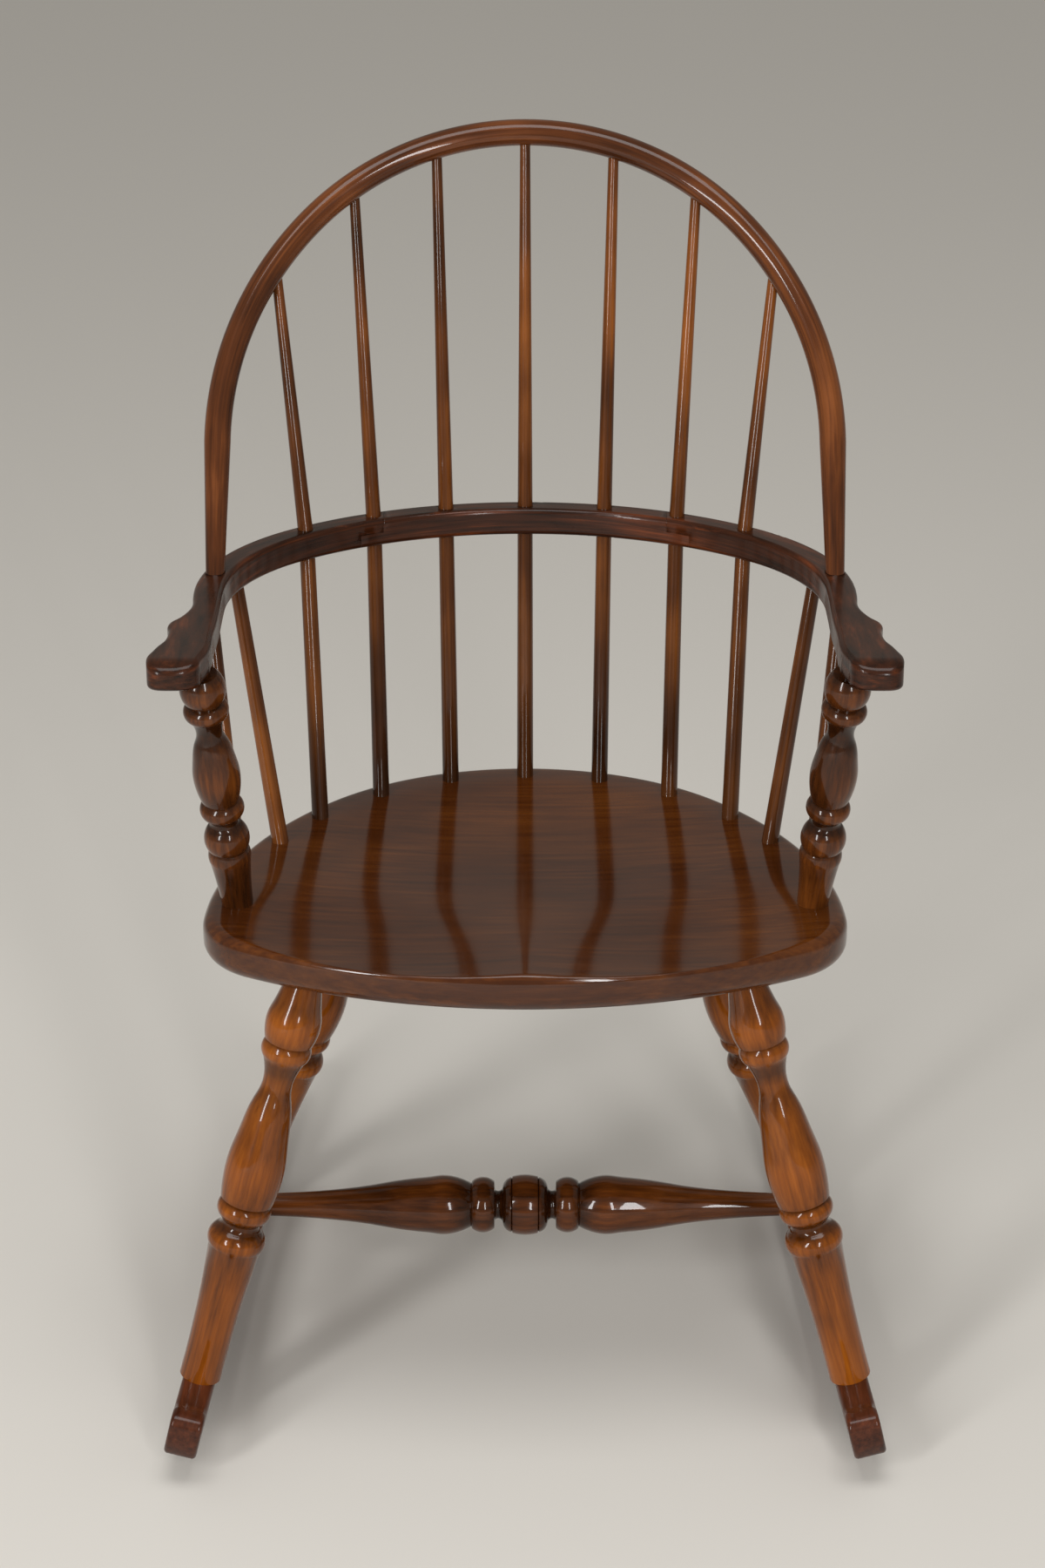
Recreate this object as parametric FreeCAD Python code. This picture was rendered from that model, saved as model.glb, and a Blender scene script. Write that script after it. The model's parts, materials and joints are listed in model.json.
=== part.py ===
"""Child's sack-back windsor rocking chair, built up from its separate wooden pieces.

Units are millimetres. +Z is up, the chair faces -Y, and the origin lies on the floor under the
middle of its rockers. The seat, back and arms are laid out in a level frame of their own, the
upper frame, whose origin is the middle of the seat's top. That frame is then tilted back and set
on the legs. Right-hand pieces (+X) are modelled and the left-hand ones are their mirror images.
"""
import FreeCAD
import Part
import math
import os

Vector = FreeCAD.Vector
Rotation = FreeCAD.Rotation
Placement = FreeCAD.Placement

# Whole chair
seat_height = 323.5
seat_behind_middle = -31.0
seat_tilt = 2.6
glue_gap = 0.08
overrun = 40.0

# Seat
seat_width = 388.0
seat_back_depth = 234.0
seat_front_depth = 88.0
seat_thickness = 27.0
seat_top_round = 8.0
seat_bottom_round = 11.0
bowl_diameter = 292.0
bowl_sink = 7.0
bowl_forward = 10.0
scoop_diameter = 196.0
scoop_sink = 6.0
scoop_apart = 158.0
scoop_forward = 112.0

# Rockers
rocker_length = 468.0
rocker_radius = 1250.0
rocker_top_radius = 1726.0
rocker_low_point = -25.5
rocker_depth = 32.0
rocker_thickness = 20.0
rocker_edge_round = 2.5
nose_length = 27.0
nose_rise = 4.5
rocker_apart = 400.0
rocker_toe = 4.0
rocker_cant = 13.5

# Legs
front_foot_forward = 170.0
rear_foot_behind = 88.0
front_leg_top_apart = 262.0
rear_leg_top_apart = 194.0
front_leg_inset = 49.0
rear_leg_inset = 91.0
leg_diameter = 36.0
leg_tenon_length = 17.0
leg_tenon_diameter = 17.0
foot_tenon_length = 15.0
foot_tenon_diameter = 10.0
foot_diameter = 25.5

# Stretchers
stretcher_height = 83.0
side_stretcher_diameter = 29.0
side_stretcher_end_diameter = 14.0
centre_stretcher_diameter = 39.0
centre_stretcher_end_diameter = 14.5
stretcher_tenon_length = 13.0

# Arm posts
post_foot_apart = 348.0
post_foot_back = 13.0
post_top_apart = 374.0
post_top_forward = 105.0
post_diameter = 28.0
post_tenon_length = 13.0
post_tenon_diameter = 13.0

# Arm rail, which is the back rail and the two arms
rail_height = 181.5
rail_thickness = 17.5
rail_width = 18.0
rail_span = 380.0
rail_back_reach = 160.0
rail_centre_forward = 2.0
rail_edge_round = 3.2
lap_place = 97.0
lap_length = 14.0
arm_reach = 137.0
hand_spread = 24.0

# Bow
bow_foot_behind = 26.0
bow_lean = 33.2
bow_height = 282.0
bow_width = 377.0
bow_shoulder_height = 81.5
bow_diameter = 16.4
bow_foot_diameter = 11.6
bow_tenon_length = 14.0

# Spindles
spindle_edge_inset = 17.0
spindle_base_diameter = 10.8
spindle_rail_diameter = 9.8
spindle_top_diameter = 6.4
spindle_seat_depth = 15.0
spindle_arm_depth = 11.0
short_spindle_top_diameter = 8.6

# Places of the long spindles across the chair, as shares of the half widths of the spindle line
# on the seat, the arm rail and the bow, from the middle one outwards. Places of the short ones
# along the side, front one first, as shares of the spindle line's and the rail's reach.
long_base_shares = (0.0, 0.276, 0.529, 0.741)
long_rail_shares = (0.0, 0.267, 0.507, 0.725)
long_top_shares = (0.0, 0.293, 0.565, 0.82)
short_base_shares = (0.17, 0.49)
short_top_shares = (0.03, 0.345)

# Turned outlines. Each stroke is a run of points (share of the length, share of the largest
# radius): two points are a straight line, three an arc and more a smooth curve.
leg_stroke_shares = (
    ((0.0, 0.6), (0.05, 0.76), (0.105, 0.93), (0.148, 0.82)),
    ((0.148, 0.82), (0.148, 0.72)),
    ((0.148, 0.72), (0.17, 0.85), (0.192, 0.72)),
    ((0.192, 0.72), (0.226, 0.55), (0.35, 0.8), (0.48, 1.0), (0.545, 0.9)),
    ((0.545, 0.9), (0.548, 0.78)),
    ((0.548, 0.78), (0.569, 0.93), (0.59, 0.78)),
    ((0.59, 0.78), (0.604, 0.66), (0.618, 0.78)),
    ((0.618, 0.78), (0.64, 0.99), (0.664, 0.9)),
    ((0.664, 0.9), (0.8, 0.755), (1.0, 0.7)),
)
post_stroke_shares = (
    ((0.0, 0.7), (0.058, 0.97), (0.118, 0.72)),
    ((0.118, 0.72), (0.15, 0.96), (0.18, 0.74)),
    ((0.18, 0.74), (0.22, 0.58), (0.33, 0.86), (0.44, 1.0), (0.54, 0.76)),
    ((0.54, 0.76), (0.571, 0.95), (0.604, 0.76)),
    ((0.604, 0.76), (0.628, 0.58), (0.65, 0.74)),
    ((0.65, 0.74), (0.695, 0.97), (0.748, 0.82)),
    ((0.748, 0.82), (0.78, 0.92), (0.8, 0.88)),
    ((0.8, 0.88), (0.9, 0.75), (1.0, 0.68)),
)
side_half_stroke_shares = (
    ((0.0, 0.48), (0.3, 0.62), (0.62, 0.86), (0.77, 0.72)),
    ((0.77, 0.72), (0.8, 0.86), (0.83, 0.74)),
)
side_ball_share = 0.83
centre_half_stroke_shares = (
    ((0.0, 0.37), (0.3, 0.54), (0.6, 0.9), (0.71, 0.96), (0.79, 0.72)),
    ((0.79, 0.72), (0.795, 0.8)),
    ((0.795, 0.8), (0.838, 0.92), (0.88, 0.78)),
    ((0.88, 0.78), (0.883, 0.5)),
    ((0.883, 0.5), (0.897, 0.46), (0.912, 0.56)),
    ((0.912, 0.56), (0.925, 0.81), (0.945, 0.91)),
    ((0.945, 0.91), (0.948, 0.86)),
    ((0.948, 0.86), (0.951, 0.94)),
)
centre_ball_share = 0.951

# A bend this slight counts as straight.
straight_share = 1e-9

# How far an oval's end goes from a circle's radius towards a true ellipse's, as a power.
oval_fullness_share = 0.72

# How much of the rocker's depth its rounded ends take.
rocker_end_share = 0.33

# The rocker's nose: (share of its length back from the tip, share of its rise).
nose_crest_shares = ((0.72, 0.3), (0.42, 1.0), (0.12, 0.6))

# The arm's outline in plan, round the hand from the outer edge to the inner one: (share of the
# reach ahead of the rail's centre, share of the hand's spread outside the rail's outer edge).
hand_outline_shares = (
    (0.3, 0.02), (0.38, 0.17), (0.465, 0.4), (0.56, 0.35), (0.66, 0.38), (0.78, 0.58), (0.9, 0.7),
    (0.975, 0.58), (1.0, 0.0), (0.97, -0.44), (0.86, -0.65), (0.5, -0.76),
)


def seat_frame():
    """The placement that carries the upper frame onto the legs."""
    return Placement(Vector(0, seat_behind_middle, seat_height), Rotation(Vector(1, 0, 0), -seat_tilt))


def upper(point):
    """A point of the upper frame as a point above the floor."""
    return seat_frame().multVec(point)


def set_on_legs(shape):
    """A shape of the upper frame, moved to its place above the floor."""
    return placed(shape, seat_frame())


def placed(shape, placement):
    """A shape moved rigidly by a placement."""
    moved = shape.copy()
    moved.Placement = placement.multiply(shape.Placement)
    return moved


def mirrored(shape):
    """The left-hand copy of a right-hand piece."""
    return shape.mirror(Vector(0, 0, 0), Vector(1, 0, 0))


def unit(vector):
    """A vector's direction."""
    return vector * (1 / vector.Length)


def bored(shape, tools):
    """A piece with a socket cut by each of the tools."""
    for tool in tools:
        shape = shape.cut(tool)
    return shape


def line(start, end):
    """A straight edge."""
    return Part.LineSegment(start, end).toShape()


def arc_from(start, heading, end):
    """The arc that leaves a point along a heading and ends at another point."""
    chord = end - start
    ahead = heading.dot(unit(chord))
    if ahead > 1 - straight_share:
        return line(start, end)
    side = unit(heading - unit(chord) * ahead)
    sagitta = chord.Length / 2 * math.tan(math.acos(ahead) / 2)
    return Part.Arc(start, start + chord / 2 + side * sagitta, end).toShape()


def biarc(start, heading, end, leaving):
    """Two arcs in line with each other, from a point and a heading to another of each."""
    gap = end - start
    total = heading + leaving
    bend = 1 - heading.dot(leaving)
    along = gap.dot(total)
    if bend < straight_share:
        reach = gap.dot(gap) / (2 * along)
    else:
        reach = (math.sqrt(along * along + 2 * bend * gap.dot(gap)) - along) / (2 * bend)
    middle = (start + heading * reach + end - leaving * reach) / 2
    return [arc_from(start, heading, middle), arc_from(end, leaving * -1, middle)]


def smooth_run(points, heading=None, leaving=None):
    """Arcs in line with each other through a run of points."""
    steps = [after - before for before, after in zip(points, points[1:])]
    headings = []
    for before, after in zip(steps, steps[1:]):
        headings.append(unit(unit(before) * after.Length + unit(after) * before.Length))
    headings.insert(0, unit(heading) if heading else reflected(headings[0], steps[0]))
    headings.append(unit(leaving) if leaving else reflected(headings[-1], steps[-1]))
    edges = []
    for number in range(len(steps)):
        edges += biarc(points[number], headings[number], points[number + 1], headings[number + 1])
    return edges


def reflected(heading, chord):
    """The heading at the other end of the one arc over a chord."""
    along = unit(chord)
    return along * (2 * along.dot(heading)) - heading


def stroke_edges(points):
    """The edges through a stroke's points: a line, an arc or a smooth run."""
    if len(points) == 2:
        return [line(points[0], points[1])]
    if len(points) == 3:
        return [Part.Arc(points[0], points[1], points[2]).toShape()]
    return smooth_run(points)


def oval_quarter(half_x, half_y, centre_y):
    """A quarter of an oval in plan from its side to its end, as two arcs: the first quarter, or
    the last one where half_y is negative."""
    deep = abs(half_y)
    end_radius = half_x * math.pow(half_x / deep, oval_fullness_share)
    past = deep - end_radius
    side_radius = (half_x * half_x + past * past - end_radius * end_radius) / (2 * (half_x - end_radius))
    side_centre = Vector(half_x - side_radius, 0, 0)
    end_centre = Vector(0, deep - end_radius, 0)
    apart = unit(side_centre - end_centre) * math.copysign(1, end_radius - side_radius)
    meet = end_centre + apart * end_radius
    points = [Vector(half_x, 0, 0), meet, Vector(0, deep, 0)]
    headings = [Vector(0, 1, 0), Vector(-apart.y, apart.x, 0)]
    edges = [arc_from(points[0], headings[0], points[1]), arc_from(points[1], headings[1], points[2])]
    turned = [edge if half_y > 0 else edge.mirror(Vector(0, 0, 0), Vector(0, 1, 0)) for edge in edges]
    return [edge.translated(Vector(0, centre_y, 0)) for edge in turned]


def face_of(edges):
    """The flat face inside a closed run of edges."""
    return Part.Face(Part.Wire(Part.__sortEdges__(edges)))


def lathe(start, end, strokes, grow=0):
    """A turned piece along the line between two points, from strokes of (distance, radius)."""
    runs = [[Vector(radius + grow, 0, along) for along, radius in stroke] for stroke in strokes]
    runs[0][0].z -= grow
    runs[-1][-1].z += grow
    foot = Vector(0, 0, runs[0][0].z)
    head = Vector(0, 0, runs[-1][-1].z)
    edges = [line(foot, runs[0][0]), line(runs[-1][-1], head), line(head, foot)]
    for run in runs:
        edges += stroke_edges(run)
    solid = face_of(edges).revolve(Vector(0, 0, 0), Vector(0, 0, 1), 360)
    return placed(solid, Placement(start, Rotation(Vector(0, 0, 1), end - start)))


def cone(start, end, start_radius, end_radius):
    """A round bar between two points that tapers evenly."""
    length = (end - start).Length
    return lathe(start, end, [[(0, start_radius), (length, end_radius)]])


def scaled_strokes(stroke_shares, length, radius):
    """Strokes given as shares, at a piece's own length and largest radius."""
    return [[(along * length, size * radius) for along, size in stroke] for stroke in stroke_shares]


def with_tenons(strokes, length, head, foot):
    """Strokes with a tenon (length, radius) before the first one and another after the last."""
    head_length, head_radius = head
    foot_length, foot_radius = foot
    before = [[(-head_length, head_radius), (0, head_radius)]]
    before += shoulder(0, head_radius, strokes[0][0][1])
    after = shoulder(length, strokes[-1][-1][1], foot_radius)
    after += [[(length, foot_radius), (length + foot_length, foot_radius)]]
    return before + strokes + after


def shoulder(along, radius, next_radius):
    """The square step between two radii, or none where they are the same."""
    return [[(along, radius), (along, next_radius)]] if radius != next_radius else []


def both_halves(half_stroke_shares, ball_share):
    """The outline of a turning whose two halves mirror each other about a middle ball."""
    half = [[(along / 2, size) for along, size in stroke] for stroke in half_stroke_shares]
    other = [[(1 - along, size) for along, size in reversed(stroke)] for stroke in reversed(half)]
    edge = ball_share / 2
    edge_size = half[-1][-1][1]
    return half + [[(edge, edge_size), (1 / 2, 1), (1 - edge, edge_size)]] + other


class Turning:
    """A turned piece: its two ends and the strokes of its outline."""

    def __init__(self, start, end, strokes):
        self.start = start
        self.end = end
        self.strokes = strokes

    def solid(self):
        """The piece itself."""
        return lathe(self.start, self.end, self.strokes)

    def socket(self):
        """The piece with its glue gap all round, to cut the sockets that hold it."""
        return lathe(self.start, self.end, self.strokes, glue_gap)

    def at_height(self, z):
        """The point of the axis at a height above the floor."""
        share = (z - self.start.z) / (self.end.z - self.start.z)
        return self.start + (self.end - self.start) * share


class BentSpindle:
    """A long spindle, sprung outwards where it passes through the back rail."""

    def __init__(self, base, rail, top):
        self.base = base
        self.rail = rail
        self.top = top

    def shape(self, grow):
        """The spindle's lower and upper lengths, met in a ball inside the rail."""
        foot_radius = spindle_base_diameter / 2 + grow
        rail_radius = spindle_rail_diameter / 2 + grow
        top_radius = spindle_top_diameter / 2 + grow
        foot = self.base - unit(self.rail - self.base) * (spindle_seat_depth + grow)
        tip = self.top + unit(self.top - self.rail) * grow
        lower = cone(foot, self.rail, foot_radius, rail_radius)
        raised = cone(self.rail, tip, rail_radius, top_radius)
        return lower.fuse(Part.makeSphere(rail_radius, self.rail)).fuse(raised)

    def solid(self):
        """The spindle itself."""
        return self.shape(0)

    def socket(self):
        """The spindle with its glue gap all round."""
        return self.shape(glue_gap)


def widest_line():
    """Where the seat is widest, measured back from the middle of its depth."""
    return (seat_front_depth - seat_back_depth) / 2


def make_seat_blank():
    """The seat board with its rounded edge and its hollowed saddle, before any socket is bored."""
    right = oval_quarter(seat_width / 2, seat_back_depth, widest_line())
    right += oval_quarter(seat_width / 2, -seat_front_depth, widest_line())
    outline = right + [mirrored(edge) for edge in right]
    board = face_of(outline).extrude(Vector(0, 0, -seat_thickness))
    board = board.makeFillet(seat_top_round, level_edges(board, 0))
    board = board.makeFillet(seat_bottom_round, level_edges(board, -seat_thickness))
    dishes = [dish(bowl_diameter, bowl_sink, Vector(0, -bowl_forward, 0))]
    for side in (-1, 1):
        middle = Vector(side * scoop_apart / 2, -scoop_forward, 0)
        dishes.append(dish(scoop_diameter, scoop_sink, middle))
    return bored(board, dishes)


def level_edges(shape, z):
    """The edges of a shape that lie flat at a height."""
    flat = [edge for edge in shape.Edges if edge.BoundBox.ZLength < glue_gap]
    return [edge for edge in flat if abs(edge.CenterOfMass.z - z) < glue_gap]


def dish(diameter, sink, centre):
    """The ball that hollows a round dish, of a given width and depth, into a flat top."""
    radius = (diameter * diameter / 4 + sink * sink) / (2 * sink)
    return Part.makeSphere(radius, centre + Vector(0, 0, radius - sink))


def rocker_frame():
    """The placement of the right-hand rocker, from the low point of an upright one."""
    cant = math.radians(rocker_cant)
    inner_edge = rocker_thickness / 2 - rocker_edge_round
    lift = rocker_edge_round * (1 - math.cos(cant)) + inner_edge * math.sin(cant)
    turn = Rotation(Vector(0, 0, 1), rocker_toe).multiply(Rotation(Vector(0, 1, 0), -rocker_cant))
    return Placement(Vector(rocker_apart / 2, rocker_low_point, lift), turn)


def arc_point(y, radius, height):
    """A point of an arc that is level over the low point, at a height there."""
    return Vector(0, y, height + radius - math.sqrt(radius * radius - y * y))


def sole_point(y):
    """A point of the rocker's sole, by its distance behind the low point."""
    return arc_point(y, rocker_radius, 0)


def back_point(y):
    """A point of the rocker's top edge, by its distance behind the low point."""
    return arc_point(y, rocker_top_radius, rocker_depth)


def make_rocker_blank(thickness):
    """An upright rocker with its raised nose, about its low point, at a given thickness."""
    front = -rocker_length / 2 - rocker_low_point
    rear = rocker_length / 2 - rocker_low_point
    round_end = rocker_depth * rocker_end_share
    sole = [sole_point(front + round_end), sole_point(0), sole_point(rear - round_end)]
    back = [back_point(rear - round_end), back_point(0), back_point(front + nose_length)]
    tail = [sole[2], Vector(0, rear, (sole[2].z + back[0].z) / 2), back[0]]
    nose = [back[2]]
    for share, rise in nose_crest_shares:
        nose.append(back_point(front + nose_length * share) + Vector(0, 0, nose_rise * rise))
    nose += [Vector(0, front, (sole[0].z + nose[-1].z) / 2), sole[0]]
    edges = stroke_edges(sole) + stroke_edges(back)
    edges += smooth_run(tail, heading_at(tail[0], rocker_radius), heading_at(tail[2], -rocker_top_radius))
    edges += smooth_run(nose, heading_at(nose[0], -rocker_top_radius), heading_at(nose[-1], rocker_radius))
    return face_of(edges).extrude(Vector(thickness, 0, 0)).translated(Vector(-thickness / 2, 0, 0))


def heading_at(point, radius):
    """The direction of a rocker arc at a point, rearward or, for a negative radius, forward."""
    rearward = Vector(0, math.sqrt(radius * radius - point.y * point.y), point.y)
    return unit(rearward) * math.copysign(1, radius)


def make_rocker(legs):
    """The right-hand rocker, rounded, leaned and bored for the foot tenons of its two legs."""
    blade = make_rocker_blank(rocker_thickness)
    half = rocker_thickness / 2
    rims = [edge for edge in blade.Edges if abs(abs(edge.CenterOfMass.x) - half) < glue_gap]
    blade = placed(blade.makeFillet(rocker_edge_round, rims), rocker_frame())
    return bored(blade, [foot_tenon(each, glue_gap) for each in legs])


def rocker_top(y):
    """The point on the middle of the right-hand rocker's top at a distance behind the origin."""
    return rocker_frame().multVec(back_point(y - rocker_low_point))


def leg(top_apart, top_y, foot_y):
    """A leg of the right-hand side, from the seat's underside to its rocker's top."""
    top = upper(Vector(top_apart / 2, top_y, -seat_thickness))
    foot = rocker_top(foot_y)
    length = (foot - top).Length
    foot_radius = foot_diameter / 2
    strokes = scaled_strokes(leg_stroke_shares, length, leg_diameter / 2)
    strokes[-1][-1] = (length, foot_radius)
    strokes.append([(length, foot_radius), (length + foot_radius, foot_radius)])
    head = (leg_tenon_length, leg_tenon_diameter / 2)
    tail = (foot_tenon_length - foot_radius, foot_tenon_diameter / 2)
    return Turning(top, foot, with_tenons(strokes, length + foot_radius, head, tail))


def foot_tenon(turning, grow=0):
    """The round tenon below a leg's foot, begun inside the leg."""
    radius = foot_tenon_diameter / 2 + grow
    along = unit(turning.end - turning.start)
    tip = turning.end + along * (foot_tenon_length + grow)
    return cone(turning.end - along * overrun, tip, radius, radius)


def make_leg(turning):
    """A leg whose foot is trimmed to the curve of its rocker's top."""
    block = placed(make_rocker_blank(rocker_thickness + leg_diameter), rocker_frame())
    block.translate(Vector(0, 0, glue_gap))
    return turning.solid().cut(block.cut(foot_tenon(turning)))


def stretcher(start, end, stroke_shares, diameter, end_diameter):
    """A stretcher between the axes of two turnings, its ends run straight into their sockets."""
    inset = unit(end - start) * (foot_diameter / 2)
    start = start + inset
    end = end - inset
    length = (end - start).Length
    strokes = scaled_strokes(stroke_shares, length, diameter / 2)
    strokes[0][0] = (0, end_diameter / 2)
    strokes[-1][-1] = (length, end_diameter / 2)
    tenon = (stretcher_tenon_length, end_diameter / 2)
    return Turning(start, end, with_tenons(strokes, length, tenon, tenon))


def side_stretcher(front, rear):
    """The right-hand stretcher between a front and a rear leg."""
    strokes = both_halves(side_half_stroke_shares, side_ball_share)
    start = front.at_height(stretcher_height)
    end = rear.at_height(stretcher_height)
    return stretcher(start, end, strokes, side_stretcher_diameter, side_stretcher_end_diameter)


def centre_stretcher(side):
    """The stretcher across the chair, between the middles of the two side ones."""
    right = (side.start + side.end) / 2
    left = Vector(-right.x, right.y, right.z)
    strokes = both_halves(centre_half_stroke_shares, centre_ball_share)
    return stretcher(left, right, strokes, centre_stretcher_diameter, centre_stretcher_end_diameter)


def arm_post():
    """The right-hand arm post, from the arm's underside down to the seat."""
    top = upper(Vector(post_top_apart / 2, -post_top_forward, rail_height - rail_thickness))
    foot = upper(Vector(post_foot_apart / 2, widest_line() + post_foot_back, 0))
    length = (foot - top).Length
    strokes = scaled_strokes(post_stroke_shares, length, post_diameter / 2)
    tenon = (post_tenon_length, post_tenon_diameter / 2)
    return Turning(top, foot, with_tenons(strokes, length, tenon, tenon))


def oval_reach(x, half_x, half_y):
    """How far an oval's end half reaches at a place across it."""
    share = x / half_x
    return half_y * math.sqrt(1 - share * share)


def make_half_rail():
    """The right-hand half of the arm rail in one piece, from the middle of the back to the hand."""
    half = rail_width / 2
    outer = oval_quarter(rail_span / 2 + half, rail_back_reach + half, -rail_centre_forward)
    inner = oval_quarter(rail_span / 2 - half, rail_back_reach - half, -rail_centre_forward)
    forward = Vector(0, -1, 0)
    side = Vector(rail_span / 2 + half, -rail_centre_forward, 0)
    run = [side]
    for share, spread in hand_outline_shares:
        ahead = share * (arm_reach - rail_centre_forward)
        run.append(side + forward * ahead + Vector(spread * hand_spread, 0, 0))
    run.append(side - Vector(rail_width, 0, 0))
    edges = smooth_run(run, forward, forward * -1) + outer + inner
    back = rail_back_reach - rail_centre_forward
    edges.append(line(Vector(0, back - half, 0), Vector(0, back + half, 0)))
    rail = face_of(edges).extrude(Vector(0, 0, rail_thickness))
    rims = level_edges(rail, 0) + level_edges(rail, rail_thickness)
    rail = rail.makeFillet(rail_edge_round, [edge for edge in rims if edge.BoundBox.XMax > half])
    return rail.translated(Vector(0, 0, rail_height - rail_thickness))


def lap_block(seam, gap):
    """The space of the back rail's half-lap: its upper part to one seam, its lower part further."""
    middle = rail_height - rail_thickness / 2
    tall = rail_thickness + overrun
    depth = rail_back_reach * 2
    above = Part.makeBox(seam - lap_length / 2 + gap, depth, tall, Vector(0, 0, middle - gap))
    below = Part.makeBox(seam + lap_length / 2 + gap, depth, tall, Vector(0, 0, middle - tall + gap))
    return above.fuse(below)


def make_arm_rail():
    """The back rail and the right arm, parted at their half-lap."""
    blank = make_half_rail()
    back = blank.common(lap_block(lap_place, 0))
    arm = blank.cut(lap_block(lap_place, glue_gap))
    return back.fuse(mirrored(back)).removeSplitter(), arm


def bow_frame():
    """The placement of the bow's plane, from an upright one on the seat's own axes."""
    return Placement(Vector(0, bow_foot_behind, rail_height), Rotation(Vector(1, 0, 0), 90 - bow_lean))


def bow_foot(grow=0):
    """The straight lower length of the bow's right side, drawn down to its tenon."""
    foot_radius = bow_foot_diameter / 2 + grow
    foot = Vector(bow_width / 2, 0, 0)
    tenon = foot - Vector(0, bow_tenon_length + grow, 0)
    spread = foot + Vector(0, bow_shoulder_height, 0)
    strokes = [[(0, foot_radius), (bow_tenon_length + grow, foot_radius)]]
    strokes.append([strokes[0][-1], ((spread - tenon).Length, bow_diameter / 2 + grow)])
    return set_on_legs(placed(lathe(tenon, spread, strokes), bow_frame()))


def make_bow():
    """The bent bow: a round arch on its two straight feet."""
    rise = bow_height - bow_shoulder_height
    arcs = oval_quarter(bow_width / 2, rise, bow_shoulder_height)
    arch = [set_on_legs(placed(arc_tube(edge, bow_diameter / 2), bow_frame())) for edge in arcs]
    half = bow_foot().fuse(arch)
    return half.fuse(mirrored(half)).removeSplitter()


def arc_tube(edge, radius):
    """A round tube along an arc that lies flat."""
    circle = edge.Curve
    start = edge.valueAt(edge.FirstParameter)
    section = Part.Circle(start, edge.tangentAt(edge.FirstParameter), radius)
    angle = math.degrees(edge.LastParameter - edge.FirstParameter)
    return Part.Face(Part.Wire(section.toShape())).revolve(circle.Center, circle.Axis, angle)


def bow_arch_point(x):
    """The point of the bow's centre line above a place across the chair, in the upper frame."""
    rise = oval_reach(x, bow_width / 2, bow_height - bow_shoulder_height)
    return bow_frame().multVec(Vector(x, bow_shoulder_height + rise, 0))


def spindle_line(x):
    """How far behind the seat's middle the line of spindles lies at a place across the chair."""
    half = seat_width / 2 - spindle_edge_inset
    return widest_line() + oval_reach(x, half, seat_back_depth - spindle_edge_inset)


def long_spindles():
    """The seven long spindles from left to right, through the back rail and into the bow."""
    spindles = []
    count = len(long_base_shares)
    for number in range(1 - count, count):
        side = -1 if number < 0 else 1
        base_x = long_base_shares[abs(number)] * (seat_width / 2 - spindle_edge_inset)
        rail_x = long_rail_shares[abs(number)] * rail_span / 2
        top_x = long_top_shares[abs(number)] * bow_width / 2
        rail_y = oval_reach(rail_x, rail_span / 2, rail_back_reach) - rail_centre_forward
        base = upper(Vector(side * base_x, spindle_line(base_x), 0))
        rail = upper(Vector(side * rail_x, rail_y, rail_height - rail_thickness / 2))
        spindles.append(BentSpindle(base, rail, upper(bow_arch_point(side * top_x))))
    return spindles


def short_spindles():
    """The right-hand pair of short spindles, front one first, from the seat into the arm."""
    pair = []
    half = seat_width / 2 - spindle_edge_inset
    reach = seat_back_depth - spindle_edge_inset
    for base_share, top_share in zip(short_base_shares, short_top_shares):
        base_x = oval_reach(base_share * reach, reach, half)
        base = upper(Vector(base_x, widest_line() + base_share * reach, 0))
        top_y = top_share * rail_back_reach
        top_x = oval_reach(top_y, rail_back_reach, rail_span / 2)
        top = upper(Vector(top_x, top_y - rail_centre_forward, rail_height - rail_thickness))
        length = (top - base).Length
        foot_radius = spindle_base_diameter / 2
        top_radius = short_spindle_top_diameter / 2
        strokes = [[(0, foot_radius), (length, top_radius)]]
        tenons = (spindle_seat_depth, foot_radius), (spindle_arm_depth, top_radius)
        pair.append(Turning(base, top, with_tenons(strokes, length, tenons[0], tenons[1])))
    return pair


def build_chair():
    """Every piece of the chair by its node's name."""
    half_depth = (seat_front_depth + seat_back_depth) / 2
    front = leg(front_leg_top_apart, front_leg_inset - half_depth, -front_foot_forward)
    rear = leg(rear_leg_top_apart, half_depth - rear_leg_inset, rear_foot_behind)
    side = side_stretcher(front, rear)
    centre = centre_stretcher(side)
    post = arm_post()
    longs = long_spindles()
    shorts = short_spindles()
    back_rail, arm = make_arm_rail()

    long_sockets = [each.socket() for each in longs]
    short_sockets = [each.socket() for each in shorts]
    side_sockets = short_sockets + [each.socket() for each in (front, rear, post)]
    seat = bored(set_on_legs(make_seat_blank()), long_sockets + side_sockets)
    seat = bored(seat, [mirrored(socket) for socket in side_sockets])
    arm = bored(set_on_legs(arm), short_sockets + long_sockets + [post.socket(), bow_foot(glue_gap)])

    pieces = {
        "seat": seat,
        "centre_stretcher": centre.solid(),
        "back_rail": bored(set_on_legs(back_rail), long_sockets),
        "bow": bored(make_bow(), long_sockets),
    }
    paired = {
        "front_leg": bored(make_leg(front), [side.socket()]),
        "rear_leg": bored(make_leg(rear), [side.socket()]),
        "rocker": make_rocker([front, rear]),
        "side_stretcher": bored(side.solid(), [centre.socket()]),
        "arm_post": post.solid(),
        "arm": arm,
        "short_spindle_front": shorts[0].solid(),
        "short_spindle_rear": shorts[1].solid(),
    }
    for name, shape in paired.items():
        pieces[name + "_right"] = shape
        pieces[name + "_left"] = mirrored(shape)
    for number, each in enumerate(longs, 1):
        pieces["long_spindle_" + str(number)] = each.solid()
    return pieces


def main():
    """Write each piece to its own file."""
    os.makedirs("parts", exist_ok=True)
    for name, shape in build_chair().items():
        shape.exportStep("parts/" + name + ".step")


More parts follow.
